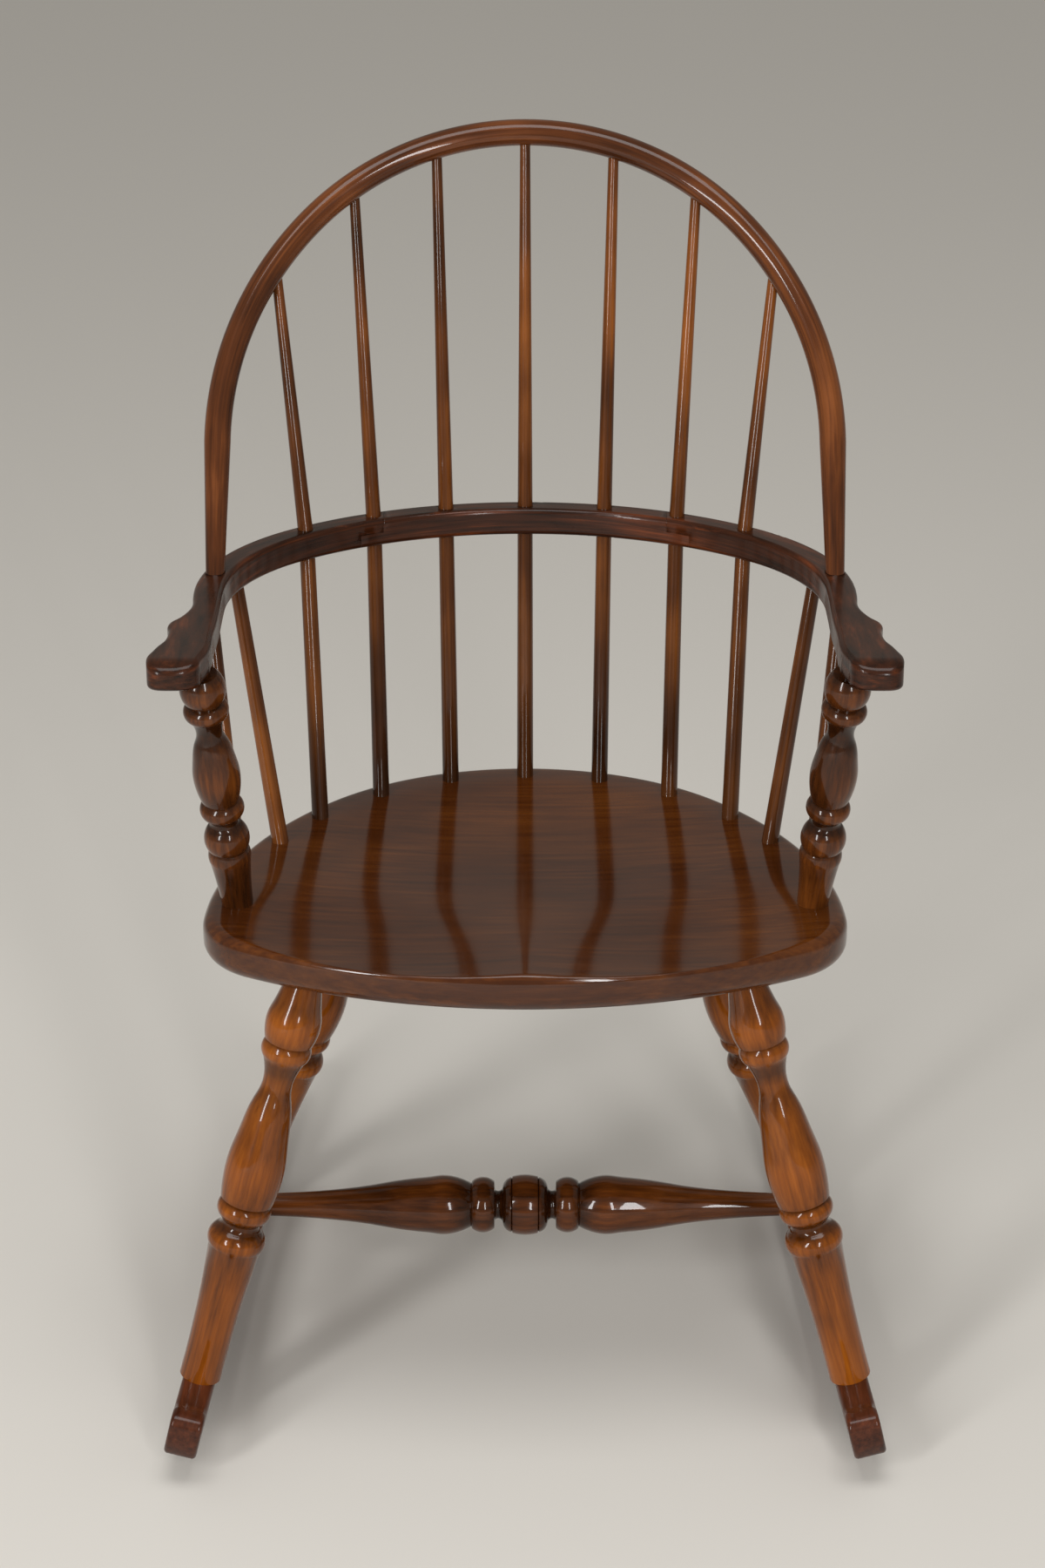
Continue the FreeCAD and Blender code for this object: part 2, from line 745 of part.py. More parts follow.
main()
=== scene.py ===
"""A child's sack-back windsor rocking chair in dark lacquered wood, dressed on its CAD frame.

Everything is in metres in the CAD frame: +Z is up and the chair faces -Y. The turned pieces, the
arms, the back rail and the rockers take their shapes from the CAD solids, with merged and smoothed
surfaces, and the hands of the arms are rolled over at the front. The seat, the spindles and the bow
are made afresh, because lacquer shows every facet on them.
"""

import json
import logging
import math
from dataclasses import dataclass, field
from enum import Enum
from typing import Sequence

import bmesh
import bpy
import numpy as np
from mathutils import Matrix, Vector

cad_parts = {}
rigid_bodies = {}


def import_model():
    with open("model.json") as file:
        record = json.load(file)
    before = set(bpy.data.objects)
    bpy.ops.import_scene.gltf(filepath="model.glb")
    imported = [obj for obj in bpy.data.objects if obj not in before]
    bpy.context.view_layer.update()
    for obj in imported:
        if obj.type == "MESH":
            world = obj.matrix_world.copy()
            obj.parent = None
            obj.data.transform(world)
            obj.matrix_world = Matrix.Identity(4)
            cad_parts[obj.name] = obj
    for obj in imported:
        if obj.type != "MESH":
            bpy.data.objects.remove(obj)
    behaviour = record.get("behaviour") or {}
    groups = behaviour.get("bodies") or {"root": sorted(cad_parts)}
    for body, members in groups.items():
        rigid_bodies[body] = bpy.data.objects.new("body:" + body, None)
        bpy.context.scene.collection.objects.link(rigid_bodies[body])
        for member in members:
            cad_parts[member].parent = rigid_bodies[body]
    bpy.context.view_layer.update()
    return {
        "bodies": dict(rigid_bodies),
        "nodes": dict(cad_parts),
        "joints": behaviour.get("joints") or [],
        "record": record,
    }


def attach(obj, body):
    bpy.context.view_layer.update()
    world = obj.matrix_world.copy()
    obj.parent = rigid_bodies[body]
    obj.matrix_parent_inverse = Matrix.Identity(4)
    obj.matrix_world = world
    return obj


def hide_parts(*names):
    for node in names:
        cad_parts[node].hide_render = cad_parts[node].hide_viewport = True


LOG = logging.getLogger("rocking_chair")
MM = 0.001
TINY = 1e-9
BODY = "root"

# Attributes that the meshes carry for the finishes and the rods
GRAIN = "grain"
# A share that darkens the stain: real stain down in the grooves of the turnings, painted shade on the seat
# and the spindles
STAIN_AND_SHADE = "relief"
WEAR = "wear"
RADIUS = "rod_radius"

# The curve of screen colours: straight up to the knee, and a power above it
SCREEN_FULL = 255
SCREEN_KNEE = 0.04045
SCREEN_SLOPE = 12.92
SCREEN_OFFSET = 0.055
SCREEN_POWER = 2.4

# A cycle of shifts of the grain in each direction, and the length of one shift
GRAIN_SHIFTS = ((97, 0.173), (53, 0.291), (31, 0.377))

# Cleaning of a copied mesh: the reach of merged points, the size of slivers, the pull of flat faces
MERGE_REACH = 0.004 * MM
SLIVER_SIZE = 0.002 * MM
FLAT_WEIGHT = 60

# The end slices that give a turned piece its axis, each finer than the one before
END_SLICES = (1.0 * MM, 0.2 * MM, 0.05 * MM)

# The share of an axis along the chair's depth from which it counts as running front to back
NEARLY_ALONG = 0.9

Colour = tuple[float, float, float]
Point2 = tuple[float, float]
Point3 = tuple[float, float, float]
Socket = bpy.types.NodeSocket
Inputs = dict[str | int, object]


class Side(Enum):
    """The two sides of the chair, as the viewer sees them."""

    LEFT = -1
    RIGHT = 1

    @property
    def word(self) -> str:
        """The end of a node's name on this side."""
        return self.name.lower()


class Grain(Enum):
    """How the grain of a piece runs."""

    AXIS = "along the piece's own axis"
    DEPTH = "from front to back of the chair"
    BENT = "round the bend of the arm rail"


def linear(red: int, green: int, blue: int) -> Colour:
    """A colour as seen on a screen, in the linear light that shaders take.

    Args:
        red: Red from 0 to 255.
        green: Green from 0 to 255.
        blue: Blue from 0 to 255.

    Returns:
        The same colour in linear light.
    """
    def channel(value: int) -> float:
        """One channel in linear light."""
        share = value / SCREEN_FULL
        if share <= SCREEN_KNEE:
            return share / SCREEN_SLOPE
        return ((share + SCREEN_OFFSET) / (1 + SCREEN_OFFSET)) ** SCREEN_POWER

    return channel(red), channel(green), channel(blue)


@dataclass(frozen=True)
class Marks:
    """One kind of mark in the wood: its size, and how strong its finer marks are."""

    length: float
    width: float
    detail: float = 3.0
    roughness: float = 0.5


@dataclass(frozen=True)
class NodeBench:
    """A node tree, to which nodes are added together with their inputs."""

    tree: bpy.types.NodeTree

    def feed(self, node: bpy.types.Node, inputs: Inputs) -> None:
        """Set or link some inputs of a node.

        Args:
            node: The node.
            inputs: A value or another node's output, by the input's name or number.
        """
        for key, value in inputs.items():
            if isinstance(value, Socket):
                self.tree.links.new(value, node.inputs[key])
            else:
                node.inputs[key].default_value = value

    def add(self, kind: str, inputs: Inputs | None = None, **settings: str) -> bpy.types.Node:
        """Add a node.

        Args:
            kind: The node's type.
            inputs: What feed takes.
            settings: The node's own settings by name.

        Returns:
            The node.
        """
        node = self.tree.nodes.new(kind)
        for name, value in settings.items():
            setattr(node, name, value)
        self.feed(node, inputs or {})
        return node

    def noise(self, place: Socket, marks: Marks) -> Socket:
        """Add a noise that is drawn out along the grain.

        Args:
            place: The place along and across the grain.
            marks: The marks that it makes.

        Returns:
            The noise's value.
        """
        scale = (1 / marks.length, 1 / marks.width, 1 / marks.width)
        drawn = self.add("ShaderNodeMapping", {"Vector": place, "Scale": scale})
        noise = self.add("ShaderNodeTexNoise", {
            "Vector": drawn.outputs["Vector"],
            "Scale": 1.0,
            "Detail": marks.detail,
            "Roughness": marks.roughness,
        })
        return noise.outputs["Fac"]


@dataclass(frozen=True)
class Lacquer:
    """A stained and lacquered wood finish."""

    name: str
    slot: str
    dark: Colour
    middle: Colour
    light: Colour
    tone_stops: tuple[float, float, float] = (0.34, 0.5, 0.66)
    streak_width: float = 0.0022
    streak_length: float = 0.07
    streak_detail: float = 6.0
    streak_roughness: float = 0.62
    pore_width_share: float = 0.25
    pore_length_share: float = 0.2
    pore_depth: float = 0.00012
    pore_strength: float = 0.25
    blotch_size: float = 0.05
    blotch_stretch: float = 2.0
    blotch_strength: float = 0.55
    blotch_range: tuple[float, float] = (0.3, 0.7)
    # How strongly and to what tone that share darkens the stain: stain in the grooves, painted shade on the
    # seat and the spindles
    groove_dark: float = 0.75
    groove_tone: float = 0.22
    wear_size: float = 0.006
    wear_stretch: float = 3.0
    wear_detail: float = 4.0
    wear_roughness: float = 0.6
    wear_range: tuple[float, float] = (0.5, 0.66)
    wear_light: float = 1.7
    rough_low: float = 0.16
    rough_high: float = 0.3
    coat: float = 0.55
    coat_rough: float = 0.05
    coat_ior: float = 1.5
    specular: float = 0.08

    def material(self) -> bpy.types.Material:
        """The finish as a node material.

        Returns:
            The material, made once and shared by its pieces.
        """
        name = "lacquer_" + self.name
        if name in bpy.data.materials:
            return bpy.data.materials[name]
        material = bpy.data.materials.new(name)
        material.use_nodes = True
        bench = NodeBench(material.node_tree)
        place = bench.add("ShaderNodeAttribute", attribute_name=GRAIN).outputs["Vector"]
        blotch = bench.noise(place, Marks(self.blotch_size * self.blotch_stretch, self.blotch_size))
        stain = self._stain(bench, place, blotch)
        bench.feed(material.node_tree.nodes["Principled BSDF"], {
            "Base Color": self._rubbed(bench, place, stain),
            "Roughness": self._sheen(bench, blotch),
            "Normal": self._pores(bench, place),
            "Specular IOR Level": self.specular,
            "Coat Weight": self.coat,
            "Coat Roughness": self.coat_rough,
            "Coat IOR": self.coat_ior,
        })
        return material

    def _stain(self, bench: NodeBench, place: Socket, blotch: Socket) -> Socket:
        """The stain: streaks and blotches in three tones, darker down in the grooves, and with painted shade
        on the seat and the spindles.

        Args:
            bench: The material's nodes.
            place: The place along and across the grain.
            blotch: The noise of the blotches.

        Returns:
            The stain's colour.
        """
        marks = Marks(self.streak_length, self.streak_width, self.streak_detail, self.streak_roughness)
        tone = bench.add("ShaderNodeMix", {
            "Factor": self.blotch_strength,
            "A": bench.noise(place, marks),
            "B": blotch,
        }, data_type="FLOAT")
        ramp = bench.add("ShaderNodeValToRGB", {"Fac": tone.outputs["Result"]})
        low, between, high = self.tone_stops
        stops = ramp.color_ramp.elements
        stops[0].position = low
        stops[0].color = (*self.dark, 1)
        stops[1].position = high
        stops[1].color = (*self.light, 1)
        stops.new(between).color = (*self.middle, 1)
        # The darkening share: stain in the grooves of the turnings, painted shade on the seat and the
        # spindles
        relief = bench.add("ShaderNodeAttribute", attribute_name=STAIN_AND_SHADE)
        depth = bench.add("ShaderNodeMapRange", {"Value": relief.outputs["Fac"], "To Max": self.groove_dark})
        stained_and_shaded = bench.add("ShaderNodeMix", {
            "Factor": depth.outputs["Result"],
            "A": ramp.outputs["Color"],
            "B": (*[value * self.groove_tone for value in self.dark], 1),
        }, data_type="RGBA")
        return stained_and_shaded.outputs["Result"]

    def _rubbed(self, bench: NodeBench, place: Socket, stain: Socket) -> Socket:
        """The stain with its lacquer rubbed through in small patches along the edges.

        Args:
            bench: The material's nodes.
            place: The place along and across the grain.
            stain: The stain's colour.

        Returns:
            The rubbed colour.
        """
        edge = bench.add("ShaderNodeAttribute", attribute_name=WEAR)
        length = self.wear_size * self.wear_stretch
        marks = Marks(length, self.wear_size, self.wear_detail, self.wear_roughness)
        least, full = self.wear_range
        patch = bench.add("ShaderNodeMapRange", {
            "Value": bench.noise(place, marks),
            "From Min": least,
            "From Max": full,
        })
        share = bench.add("ShaderNodeMath", {
            0: edge.outputs["Fac"],
            1: patch.outputs["Result"],
        }, operation="MULTIPLY")
        rubbed = bench.add("ShaderNodeMix", {
            "Factor": share.outputs["Value"],
            "A": stain,
            "B": (*[min(value * self.wear_light, 1) for value in self.light], 1),
        }, data_type="RGBA")
        return rubbed.outputs["Result"]

    def _sheen(self, bench: NodeBench, blotch: Socket) -> Socket:
        """The roughness, which follows the blotches.

        Args:
            bench: The material's nodes.
            blotch: The noise of the blotches.

        Returns:
            The roughness.
        """
        least, full = self.blotch_range
        rough = bench.add("ShaderNodeMapRange", {
            "Value": blotch,
            "From Min": least,
            "From Max": full,
            "To Min": self.rough_low,
            "To Max": self.rough_high,
        })
        return rough.outputs["Result"]

    def _pores(self, bench: NodeBench, place: Socket) -> Socket:
        """The fine pores of the wood under the lacquer.

        Args:
            bench: The material's nodes.
            place: The place along and across the grain.

        Returns:
            The bumped normal.
        """
        length = self.streak_length * self.pore_length_share
        bump = bench.add("ShaderNodeBump", {
            "Strength": self.pore_strength,
            "Distance": self.pore_depth,
            "Height": bench.noise(place, Marks(length, self.streak_width * self.pore_width_share)),
        })
        return bump.outputs["Normal"]


BOW_FINISH = Lacquer("bow", "bow", linear(40, 19, 8), linear(82, 42, 17), linear(122, 68, 31))
# The spindles have no grooves: their strong darkening is painted shade along them
SPINDLE_FINISH = Lacquer(
    "spindles", "spindles", linear(44, 22, 8), linear(102, 55, 21), linear(160, 92, 36),
    streak_length=0.1, blotch_size=0.06, blotch_strength=0.7, groove_dark=0.9,
)
ARM_FINISH = Lacquer(
    "arms", "arms", linear(24, 11, 5), linear(58, 28, 13), linear(108, 53, 25),
    blotch_strength=0.4, rough_low=0.26, rough_high=0.36, coat=0.25, coat_rough=0.12, specular=0.12,
)
SEAT_FINISH = Lacquer(
    "seat", "seat", linear(46, 19, 5), linear(76, 36, 9), linear(102, 54, 15),
    streak_width=0.0034, blotch_size=0.09, rough_low=0.08, rough_high=0.13,
    coat=0.1, coat_rough=0.04, specular=0.42,
)
POST_FINISH = Lacquer(
    "posts", "turnings", linear(40, 19, 6), linear(78, 39, 12), linear(120, 65, 22),
    streak_width=0.003, coat_rough=0.04,
)
LEG_FINISH = Lacquer(
    "legs", "turnings", linear(84, 41, 7), linear(126, 65, 12), linear(156, 86, 21),
    streak_width=0.003, blotch_strength=0.5, coat_rough=0.04,
)
STRETCHER_FINISH = Lacquer(
    "stretchers", "turnings", linear(46, 21, 6), linear(86, 43, 12), linear(122, 65, 21),
    streak_width=0.003, coat_rough=0.04,
)
ROCKER_FINISH = Lacquer(
    "rockers", "rockers", linear(42, 19, 11), linear(76, 38, 22), linear(108, 56, 34),
    streak_width=0.003, rough_low=0.26, rough_high=0.38, coat=0.4, coat_rough=0.1,
)


@dataclass(frozen=True)
class SeatFrame:
    """The tilted frame of the seat, back and arms."""

    behind: float = -31.0 * MM
    height: float = 323.5 * MM
    tilt: float = 2.6

    def matrix(self) -> Matrix:
        """The move from the level upper frame to the chair."""
        lean = Matrix.Rotation(-math.radians(self.tilt), 4, "X")
        return Matrix.Translation((0, self.behind, self.height)) @ lean


@dataclass(frozen=True)
class ArmRail:
    """The middle line of the bent rail of the back and arms, a half oval in the seat's frame."""

    half: float = 190.0 * MM
    reach: float = 160.0 * MM
    centre: float = -2.0 * MM
    height: float = 181.5 * MM
    thickness: float = 17.5 * MM


UPPER = SeatFrame()
RAIL = ArmRail()


def finished(name: str, mesh: bpy.types.Mesh, finish: Lacquer, nodes: Sequence[str]) -> bpy.types.Object:
    """An object for a finished mesh, in place of its CAD nodes.

    Args:
        name: The piece's name.
        mesh: Its mesh, in the chair's frame.
        finish: Its finish.
        nodes: The CAD nodes that it stands for.

    Returns:
        The piece, riding on the chair's one body.
    """
    mesh.materials.clear()
    mesh.materials.append(finish.material())
    piece = bpy.data.objects.new(name, mesh)
    bpy.context.scene.collection.objects.link(piece)
    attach(piece, BODY)
    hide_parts(*nodes)
    return piece


def positions(mesh: bpy.types.Mesh) -> np.ndarray:
    """The points of a mesh, one row of three numbers for each."""
    return np.array([tuple(point.co) for point in mesh.vertices])


def store(mesh: bpy.types.Mesh, name: str, values: np.ndarray, domain: str = "POINT") -> None:
    """Keep a number or a vector for each point or face of a mesh.

    Args:
        mesh: The mesh.
        name: The attribute's name.
        values: A number or a row of three for each point or face.
        domain: POINT or FACE.
    """
    kind, key = ("FLOAT", "value") if values.ndim == 1 else ("FLOAT_VECTOR", "vector")
    attribute = mesh.attributes.new(name, kind, domain)
    attribute.data.foreach_set(key, values.astype(np.float32).ravel())


def offset_for(name: str) -> np.ndarray:
    """A fixed shift of the grain, so that no two pieces are cut from the same wood."""
    seed = sum((place + 1) * ord(letter) for place, letter in enumerate(name))
    return np.array([(seed % cycle) * shift for cycle, shift in GRAIN_SHIFTS])


def turning_axis(points: np.ndarray) -> tuple[np.ndarray, np.ndarray]:
    """The middle and the three main directions of a turned piece, from the rings at its ends.

    Args:
        points: The piece's points.

    Returns:
        The middle point, and the directions as rows with the axis first.
    """
    spread = np.cov((points - points.mean(axis=0)).T)
    axis = np.linalg.eigh(spread)[1][:, -1]
    low = high = points.mean(axis=0)
    for depth in END_SLICES:
        along = points @ axis
        low = points[along < along.min() + depth].mean(axis=0)
        high = points[along > along.max() - depth].mean(axis=0)
        axis = (high - low) / np.linalg.norm(high - low)
    aside = np.array([0.0, 1.0, 0.0]) if abs(axis[1]) < NEARLY_ALONG else np.array([1.0, 0.0, 0.0])
    across = np.cross(axis, aside)
    across /= np.linalg.norm(across)
    return (low + high) / 2, np.stack([axis, across, np.cross(axis, across)])


def turned_normals(mesh: bpy.types.Mesh, middle: np.ndarray, axes: np.ndarray, sharp: float = 30.0) -> None:
    """Give a turned piece the normals of its lathe: even round it, and smooth along it but at creases.

    Args:
        mesh: The piece's mesh.
        middle: A point on its axis.
        axes: Its directions as rows with the axis first.
        sharp: The turn of the outline in degrees above which a crease stays.
    """
    points = (positions(mesh) - middle) @ axes.T
    outward = np.concatenate([np.zeros((len(points), 1)), points[:, 1:]], axis=1)
    outward /= np.maximum(np.linalg.norm(outward, axis=1, keepdims=True), TINY)
    slopes: list[Vector] = []
    at_point: list[list[Vector]] = [[] for _ in points]
    for face in mesh.polygons:
        normal = axes @ np.array(face.normal)
        centre = points[list(face.vertices)].mean(axis=0)
        radial = centre[1:] / max(float(np.hypot(*centre[1:])), TINY)
        slope = Vector((float(normal[0]), float(normal[1:] @ radial))).normalized()
        slopes.append(slope)
        for corner in face.vertices:
            at_point[corner].append(slope)
    least = math.cos(math.radians(sharp))
    normals = np.empty((len(mesh.loops), 3))
    for face, slope in zip(mesh.polygons, slopes):
        for loop in face.loop_indices:
            corner = mesh.loops[loop].vertex_index
            near = sum((other for other in at_point[corner] if other.dot(slope) > least), Vector((0, 0)))
            near.normalize()
            normals[loop] = (outward[corner] * near[1] + np.array([near[0], 0, 0])) @ axes
    mesh.normals_split_custom_set(normals.tolist())


def groove_depth(along: np.ndarray, radius: np.ndarray, reach: float = 9 * MM, full: float = 3.2 * MM,
                 step: float = 0.5 * MM, ease: int = 2) -> np.ndarray:
    """How deep each point of a turning lies below its neighbours.

    Args:
        along: Each point's place along the axis.
        radius: Each point's distance from the axis.
        reach: How far to each side the neighbours count.
        full: The depth that counts as a full groove.
        step: The length of the slices in which the outline is read.
        ease: How many slices to each side the depth is averaged over.

    Returns:
        A share from 0, proud, to 1, deep in a groove.
    """
    slices = ((along - along.min()) / step).astype(int)
    outline = np.zeros(slices.max() + 1)
    np.maximum.at(outline, slices, radius)
    places = np.arange(len(outline))
    known = outline > 0
    outline = np.interp(places, places[known], outline[known])
    width = int(reach / step)
    padded = np.pad(outline, width, mode="edge")
    crest = np.array([padded[n:n + 2 * width + 1].max() for n in places])
    depth = np.clip((crest - outline) / full, 0, 1)
    window = 2 * ease + 1
    eased = np.convolve(np.pad(depth, ease, mode="edge"), np.ones(window) / window, mode="valid")
    return eased[slices]


def edge_wear(mesh: bpy.types.Mesh, least: float = 0.2, full: float = 0.5, strength: float = 0.3,
              crease: float = 0.6) -> None:
    """Keep for each face how far it belongs to a rounded edge, where hands rub.

    Args:
        mesh: The piece's mesh.
        least: The turn between a face and its neighbours, in radians, at which wear begins.
        full: The turn at which it is full.
        strength: The share of full wear.
        crease: The turn above which an edge is a joint's and not rounded.
    """
    work = bmesh.new()
    work.from_mesh(mesh)
    turn = np.zeros(len(work.faces))
    for edge in work.edges:
        if len(edge.link_faces) == 2:
            angle = edge.calc_face_angle_signed(0.0)
            for face in edge.link_faces:
                turn[face.index] += angle if 0 < angle < crease else 0
    work.free()
    store(mesh, WEAR, np.clip((turn - least) / (full - least), 0, 1) * strength, "FACE")


def roll_hand(work: bmesh.types.BMesh, roll: float = 13 * MM, fall: float = 4.2 * MM,
              lift: float = 1.6 * MM, cuts: int = 9) -> None:
    """Roll the front end of an arm over, as hands have worn it.

    Args:
        work: The arm's mesh, which is changed.
        roll: How far back from the front the roll begins.
        fall: How far its top edge drops.
        lift: How far its bottom edge rises.
        cuts: The number of cuts that carry the roll.
    """
    frame = UPPER.matrix()
    back = frame.inverted()
    front = min((back @ point.co).y for point in work.verts)
    facing = frame.to_3x3() @ Vector((0, 1, 0))
    for step in range(1, cuts + 1):
        place = frame @ Vector((0, front + roll * step / cuts, 0))
        geometry = work.verts[:] + work.edges[:] + work.faces[:]
        bmesh.ops.bisect_plane(work, geom=geometry, plane_co=place, plane_no=facing)
    low = min((back @ point.co).z for point in work.verts)
    high = max((back @ point.co).z for point in work.verts)
    for point in work.verts:
        local = back @ point.co
        near = 1 - (local.y - front) / roll
        if near > 0:
            upward = (local.z - low) / (high - low)
            local.z += near ** 2 * (lift * (1 - upward) - fall * upward)
            point.co = frame @ local


def smoothed_copy(node: bpy.types.Object, hand: bool = False, sharp: float = 38.0) -> bpy.types.Mesh:
    """A copy of a CAD node's mesh with its points merged and its curves smooth.

    Args:
        node: The CAD node.
        hand: Whether the piece ends in a hand that rolls over at the front.
        sharp: The angle in degrees above which an edge stays sharp.

    Returns:
        A plain mesh with its flat faces kept flat.
    """
    work = bmesh.new()
    work.from_mesh(node.data)
    bmesh.ops.remove_doubles(work, verts=work.verts, dist=MERGE_REACH)
    bmesh.ops.dissolve_degenerate(work, edges=work.edges, dist=SLIVER_SIZE)
    if hand:
        roll_hand(work)
    mesh = bpy.data.meshes.new(node.name + "_smooth")
    work.to_mesh(mesh)
    work.free()
    mesh.polygons.foreach_set("use_smooth", [True] * len(mesh.polygons))
    mesh.set_sharp_from_angle(angle=math.radians(sharp))
    holder = bpy.data.objects.new(node.name + "_holder", mesh)
    bpy.context.scene.collection.objects.link(holder)
    weighted = holder.modifiers.new("flat_faces", "WEIGHTED_NORMAL")
    weighted.keep_sharp = True
    weighted.weight = FLAT_WEIGHT
    return plain_mesh(holder)


def plain_mesh(holder: bpy.types.Object) -> bpy.types.Mesh:
    """The mesh that an object's modifiers make, after which the object is removed.

    Args:
        holder: A passing object with its modifiers.

    Returns:
        A plain mesh.
    """
    source = holder.data
    result = bpy.data.meshes.new_from_object(holder.evaluated_get(bpy.context.evaluated_depsgraph_get()))
    holder.modifiers.clear()
    bpy.data.objects.remove(holder)
    bpy.data.meshes.remove(source)
    return result


@dataclass
class CadPieces:
    """Pieces that keep their CAD shapes and get smooth surfaces, grain and finish."""

    finish: Lacquer
    grain: Grain
    names: tuple[str, ...]
    hand: bool = False
    ring_share: float = 0.3

    def build(self, nodes: dict[str, bpy.types.Object]) -> list[bpy.types.Object]:
        """Make every piece.

        Args:
            nodes: The CAD nodes by name.

        Returns:
            The finished pieces.
        """
        return [self.dress(nodes[name]) for name in self.names]

    def dress(self, node: bpy.types.Object) -> bpy.types.Object:
        """Make one piece. The back rail and the arms share one run of grain, because they look like one.

        Args:
            node: Its CAD node.

        Returns:
            The finished piece.
        """
        mesh = smoothed_copy(node, self.hand)
        points = positions(mesh)
        relief = np.zeros(len(points))
        if self.grain is Grain.AXIS:
            middle, axes = turning_axis(points)
            local = (points - middle) @ axes.T
            relief = groove_depth(local[:, 0], np.hypot(local[:, 1], local[:, 2]))
            turned_normals(mesh, middle, axes)
        elif self.grain is Grain.DEPTH:
            local = points[:, [1, 0, 2]]
        else:
            local = self.round_the_bend(points)
        plank = "arm_rail" if self.grain is Grain.BENT else node.name
        store(mesh, GRAIN, local + offset_for(plank))
        store(mesh, STAIN_AND_SHADE, relief)
        if self.grain is not Grain.AXIS:
            edge_wear(mesh)
        return finished(node.name + "_wood", mesh, self.finish, [node.name])

    def round_the_bend(self, points: np.ndarray) -> np.ndarray:
        """Places along and across the bent arm rail.

        Args:
            points: The piece's points.

        Returns:
            The place round the bend, across the rail and up, for each point.
        """
        back = points[:, 1] - (UPPER.behind + RAIL.centre)
        angle = np.arctan2(points[:, 0], np.maximum(back, 0))
        ahead = np.where(back < 0, -back * np.sign(points[:, 0]), 0)
        along = angle * (RAIL.half + RAIL.reach) / 2 + ahead
        round_oval = np.hypot(points[:, 0] / RAIL.half, np.maximum(back, 0) / RAIL.reach)
        across = (round_oval - 1) * RAIL.half * self.ring_share
        return np.stack([along, across, points[:, 2]], axis=1)


class RodTree:
    """The Geometry Nodes tree that sweeps a round section of changing thickness along a path."""

    def __init__(self) -> None:
        """Build the tree, which takes a path, the sides of the section, its radius and the wood."""
        self.tree = bpy.data.node_groups.new("round_rod", "GeometryNodeTree")
        sockets = self.tree.interface
        sockets.new_socket("Path", in_out="INPUT", socket_type="NodeSocketGeometry")
        self.sides = sockets.new_socket("Sides", in_out="INPUT", socket_type="NodeSocketInt")
        self.radius = sockets.new_socket("Radius", in_out="INPUT", socket_type="NodeSocketFloat")
        self.wood = sockets.new_socket("Wood", in_out="INPUT", socket_type="NodeSocketMaterial")
        sockets.new_socket("Rod", in_out="OUTPUT", socket_type="NodeSocketGeometry")
        bench = NodeBench(self.tree)
        given = bench.add("NodeGroupInput").outputs
        curve = bench.add("GeometryNodeMeshToCurve", {"Mesh": given["Path"]})
        section = bench.add("GeometryNodeCurvePrimitiveCircle", {"Resolution": given["Sides"], "Radius": 1.0})
        swept = bench.add("GeometryNodeCurveToMesh", {
            "Curve": curve.outputs["Curve"],
            "Profile Curve": section.outputs["Curve"],
            "Scale": given["Radius"],
            "Fill Caps": True,
        })
        smooth = bench.add("GeometryNodeSetShadeSmooth", {"Geometry": swept.outputs["Mesh"]})
        real = bench.add("GeometryNodeRealizeInstances", {"Geometry": smooth.outputs["Geometry"]})
        dressed = bench.add("GeometryNodeSetMaterial", {
            "Geometry": real.outputs["Geometry"],
            "Material": given["Wood"],
        })
        bench.add("NodeGroupOutput", {"Rod": dressed.outputs["Geometry"]})

    def sweep(self, name: str, path: Sequence[Vector], radii: Sequence[float], sides: int,
              finish: Lacquer, shades: Sequence[float] = (0.0, 0.0)) -> bpy.types.Mesh:
        """A round rod along a path, as a plain mesh with its grain.

        Args:
            name: The rod's name.
            path: The points of its middle line.
            radii: Its radius at each point.
            sides: The number of sides of its section.
            finish: Its finish.
            shades: How much painted shade darkens the rod at its start and its end, from 0 to 1.

        Returns:
            The rod's mesh.
        """
        line = bpy.data.meshes.new(name + "_path")
        line.from_pydata([tuple(point) for point in path], [(n, n + 1) for n in range(len(path) - 1)], [])
        store(line, RADIUS, np.array(radii))
        holder = bpy.data.objects.new(name + "_path", line)
        bpy.context.scene.collection.objects.link(holder)
        modifier = holder.modifiers.new("rod", "NODES")
        modifier.node_group = self.tree
        modifier[self.sides.identifier] = sides
        modifier[self.radius.identifier + "_use_attribute"] = True
        modifier[self.radius.identifier + "_attribute_name"] = RADIUS
        modifier[self.wood.identifier] = finish.material()
        mesh = plain_mesh(holder)
        numbers = np.arange(len(mesh.vertices))
        rings = np.minimum(numbers // sides, len(path) - 1)
        turn = 2 * math.pi * (numbers % sides) / sides
        runs = [0.0] + [(after - before).length for before, after in zip(path, path[1:])]
        size = np.array(radii)[rings]
        rows = np.stack([np.cumsum(runs)[rings], size * np.cos(turn), size * np.sin(turn)], axis=1)
        store(mesh, GRAIN, rows + offset_for(name))
        # Painted shade along the rod, from its start to its end
        store(mesh, STAIN_AND_SHADE, np.interp(rings, [0, len(path) - 1], shades))
        return mesh


